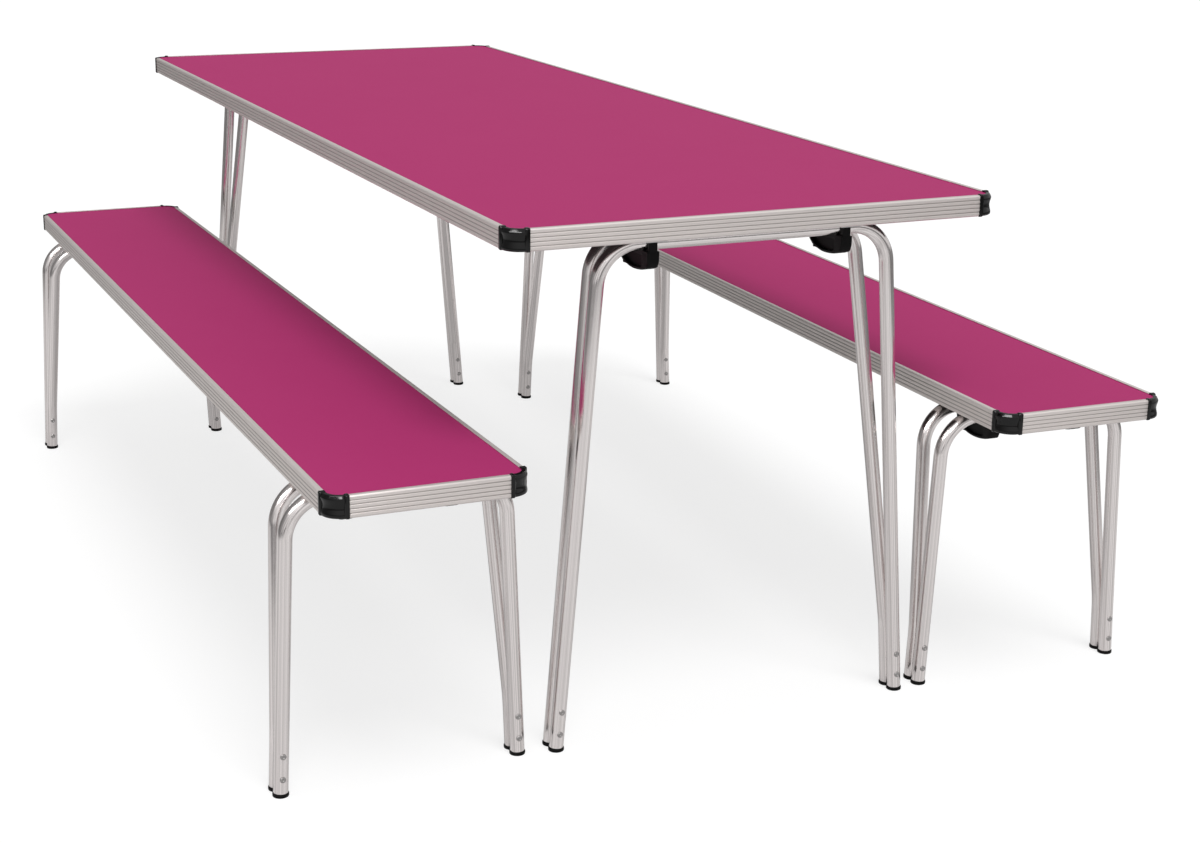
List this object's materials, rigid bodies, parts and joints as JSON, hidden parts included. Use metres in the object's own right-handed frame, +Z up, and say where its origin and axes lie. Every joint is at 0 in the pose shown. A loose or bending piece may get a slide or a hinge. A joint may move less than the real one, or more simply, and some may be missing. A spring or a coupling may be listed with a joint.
{
  "type": "folding table with benches",
  "caption": "Folding cafeteria table with a magenta laminate top and matching loose benches, ribbed aluminium edging, black corner caps and twin-tube legs that fold under.",
  "frame": {"origin": "on the floor under the middle of the whole set", "axes": "+X along the table towards its front end, +Y towards the right bench, +Z up"},
  "size_m": [1.9132, 1.3022, 0.6992],
  "materials": {
    "laminate": "satin magenta laminate on board",
    "edging": "anodised, ribbed",
    "leg_tube": "polished",
    "corner_cap": "gloss black",
    "nylon": "moulded black nylon",
    "carrier": "mill"
  },
  "bodies": {
    "table_top": {"table_top_board": "laminate", "table_edge_frame": "edging", "table_front_right_cap": "corner_cap", "table_rear_right_cap": "corner_cap", "table_rear_left_cap": "corner_cap", "table_front_left_cap": "corner_cap", "table_front_leg_carrier": "carrier", "table_rear_leg_carrier": "carrier"},
    "table_front_legs": {"table_front_outer_tube": "leg_tube", "table_front_inner_tube": "leg_tube", "table_front_left_foot": "nylon", "table_front_right_foot": "nylon"},
    "table_front_left_catch": {"table_front_left_catch": "nylon"},
    "table_front_right_catch": {"table_front_right_catch": "nylon"},
    "table_rear_legs": {"table_rear_outer_tube": "leg_tube", "table_rear_inner_tube": "leg_tube", "table_rear_left_foot": "nylon", "table_rear_right_foot": "nylon"},
    "table_rear_left_catch": {"table_rear_left_catch": "nylon"},
    "table_rear_right_catch": {"table_rear_right_catch": "nylon"},
    "left_bench_seat": {"left_bench_seat_board": "laminate", "left_bench_edge_frame": "edging", "left_bench_front_right_cap": "corner_cap", "left_bench_rear_right_cap": "corner_cap", "left_bench_rear_left_cap": "corner_cap", "left_bench_front_left_cap": "corner_cap", "left_bench_front_leg_carrier": "carrier", "left_bench_rear_leg_carrier": "carrier"},
    "left_bench_front_legs": {"left_bench_front_outer_tube": "leg_tube", "left_bench_front_inner_tube": "leg_tube", "left_bench_front_left_foot": "nylon", "left_bench_front_right_foot": "nylon"},
    "left_bench_front_left_catch": {"left_bench_front_left_catch": "nylon"},
    "left_bench_front_right_catch": {"left_bench_front_right_catch": "nylon"},
    "left_bench_rear_legs": {"left_bench_rear_outer_tube": "leg_tube", "left_bench_rear_inner_tube": "leg_tube", "left_bench_rear_left_foot": "nylon", "left_bench_rear_right_foot": "nylon"},
    "left_bench_rear_left_catch": {"left_bench_rear_left_catch": "nylon"},
    "left_bench_rear_right_catch": {"left_bench_rear_right_catch": "nylon"},
    "right_bench_seat": {"right_bench_seat_board": "laminate", "right_bench_edge_frame": "edging", "right_bench_front_right_cap": "corner_cap", "right_bench_rear_right_cap": "corner_cap", "right_bench_rear_left_cap": "corner_cap", "right_bench_front_left_cap": "corner_cap", "right_bench_front_leg_carrier": "carrier", "right_bench_rear_leg_carrier": "carrier"},
    "right_bench_front_legs": {"right_bench_front_outer_tube": "leg_tube", "right_bench_front_inner_tube": "leg_tube", "right_bench_front_left_foot": "nylon", "right_bench_front_right_foot": "nylon"},
    "right_bench_front_left_catch": {"right_bench_front_left_catch": "nylon"},
    "right_bench_front_right_catch": {"right_bench_front_right_catch": "nylon"},
    "right_bench_rear_legs": {"right_bench_rear_outer_tube": "leg_tube", "right_bench_rear_inner_tube": "leg_tube", "right_bench_rear_left_foot": "nylon", "right_bench_rear_right_foot": "nylon"},
    "right_bench_rear_left_catch": {"right_bench_rear_left_catch": "nylon"},
    "right_bench_rear_right_catch": {"right_bench_rear_right_catch": "nylon"}
  },
  "joints": [
    {"name": "table_front_leg_fold", "type": "hinge", "parent": "table_top", "child": "table_front_legs", "pos_m": [0.76958, -0.0215, 0.6605], "axis": [0, 1, 0], "range_deg": [0, 93]},
    {"name": "table_front_left_catch_turn", "type": "hinge", "parent": "table_front_legs", "child": "table_front_left_catch", "pos_m": [0.82658, -0.1585, 0.6605], "axis": [0, -1, 0], "range_deg": [0, 22], "stiffness_Nm_per_rad": 0.3, "springref_deg": -11.46},
    {"name": "table_front_right_catch_turn", "type": "hinge", "parent": "table_front_legs", "child": "table_front_right_catch", "pos_m": [0.82658, 0.1155, 0.6605], "axis": [0, -1, 0], "range_deg": [0, 22], "stiffness_Nm_per_rad": 0.3, "springref_deg": -11.46},
    {"name": "table_rear_leg_fold", "type": "hinge", "parent": "table_top", "child": "table_rear_legs", "pos_m": [-0.85042, -0.0215, 0.6605], "axis": [0, -1, 0], "range_deg": [0, 93]},
    {"name": "table_rear_left_catch_turn", "type": "hinge", "parent": "table_rear_legs", "child": "table_rear_left_catch", "pos_m": [-0.90742, -0.1585, 0.6605], "axis": [0, 1, 0], "range_deg": [0, 22], "stiffness_Nm_per_rad": 0.3, "springref_deg": -11.46},
    {"name": "table_rear_right_catch_turn", "type": "hinge", "parent": "table_rear_legs", "child": "table_rear_right_catch", "pos_m": [-0.90742, 0.1155, 0.6605], "axis": [0, 1, 0], "range_deg": [0, 22], "stiffness_Nm_per_rad": 0.3, "springref_deg": -11.46},
    {"name": "left_bench_front_leg_fold", "type": "hinge", "parent": "left_bench_seat", "child": "left_bench_front_legs", "pos_m": [0.75857, -0.4837, 0.3825], "axis": [0.0044, 1, 0], "range_deg": [0, 95]},
    {"name": "left_bench_front_left_catch_turn", "type": "hinge", "parent": "left_bench_front_legs", "child": "left_bench_front_left_catch", "pos_m": [0.81528, -0.55095, 0.3825], "axis": [-0.0044, -1, 0], "range_deg": [0, 22], "stiffness_Nm_per_rad": 0.3, "springref_deg": -11.46},
    {"name": "left_bench_front_right_catch_turn", "type": "hinge", "parent": "left_bench_front_legs", "child": "left_bench_front_right_catch", "pos_m": [0.81586, -0.41695, 0.3825], "axis": [-0.0044, -1, 0], "range_deg": [0, 22], "stiffness_Nm_per_rad": 0.3, "springref_deg": -11.46},
    {"name": "left_bench_rear_leg_fold", "type": "hinge", "parent": "left_bench_seat", "child": "left_bench_rear_legs", "pos_m": [-0.70942, -0.4773, 0.3825], "axis": [-0.0044, -1, 0], "range_deg": [0, 95]},
    {"name": "left_bench_rear_left_catch_turn", "type": "hinge", "parent": "left_bench_rear_legs", "child": "left_bench_rear_left_catch", "pos_m": [-0.76671, -0.54405, 0.3825], "axis": [0.0044, 1, 0], "range_deg": [0, 22], "stiffness_Nm_per_rad": 0.3, "springref_deg": -11.46},
    {"name": "left_bench_rear_right_catch_turn", "type": "hinge", "parent": "left_bench_rear_legs", "child": "left_bench_rear_right_catch", "pos_m": [-0.76612, -0.41005, 0.3825], "axis": [0.0044, 1, 0], "range_deg": [0, 22], "stiffness_Nm_per_rad": 0.3, "springref_deg": -11.46},
    {"name": "left_bench_pull_out", "type": "slide", "parent": "table_top", "child": "left_bench_seat", "axis": [0, -1, 0], "range_m": [0, 0.3]},
    {"name": "right_bench_front_leg_fold", "type": "hinge", "parent": "right_bench_seat", "child": "right_bench_front_legs", "pos_m": [0.77119, 0.4348, 0.3825], "axis": [0.0323, 0.9995, 0], "range_deg": [0, 95]},
    {"name": "right_bench_front_left_catch_turn", "type": "hinge", "parent": "right_bench_front_legs", "child": "right_bench_front_left_catch", "pos_m": [0.826, 0.366, 0.3825], "axis": [-0.0323, -0.9995, 0], "range_deg": [0, 22], "stiffness_Nm_per_rad": 0.3, "springref_deg": -11.46},
    {"name": "right_bench_front_right_catch_turn", "type": "hinge", "parent": "right_bench_front_legs", "child": "right_bench_front_right_catch", "pos_m": [0.83033, 0.49993, 0.3825], "axis": [-0.0323, -0.9995, 0], "range_deg": [0, 22], "stiffness_Nm_per_rad": 0.3, "springref_deg": -11.46},
    {"name": "right_bench_rear_leg_fold", "type": "hinge", "parent": "right_bench_seat", "child": "right_bench_rear_legs", "pos_m": [-0.69604, 0.4822, 0.3825], "axis": [-0.0323, -0.9995, 0], "range_deg": [0, 95]},
    {"name": "right_bench_rear_left_catch_turn", "type": "hinge", "parent": "right_bench_rear_legs", "child": "right_bench_rear_left_catch", "pos_m": [-0.75517, 0.41707, 0.3825], "axis": [0.0323, 0.9995, 0], "range_deg": [0, 22], "stiffness_Nm_per_rad": 0.3, "springref_deg": -11.46},
    {"name": "right_bench_rear_right_catch_turn", "type": "hinge", "parent": "right_bench_rear_legs", "child": "right_bench_rear_right_catch", "pos_m": [-0.75085, 0.551, 0.3825], "axis": [0.0323, 0.9995, 0], "range_deg": [0, 22], "stiffness_Nm_per_rad": 0.3, "springref_deg": -11.46},
    {"name": "right_bench_pull_out", "type": "slide", "parent": "table_top", "child": "right_bench_seat", "axis": [0, 1, 0], "range_m": [0, 0.3]}
  ]
}
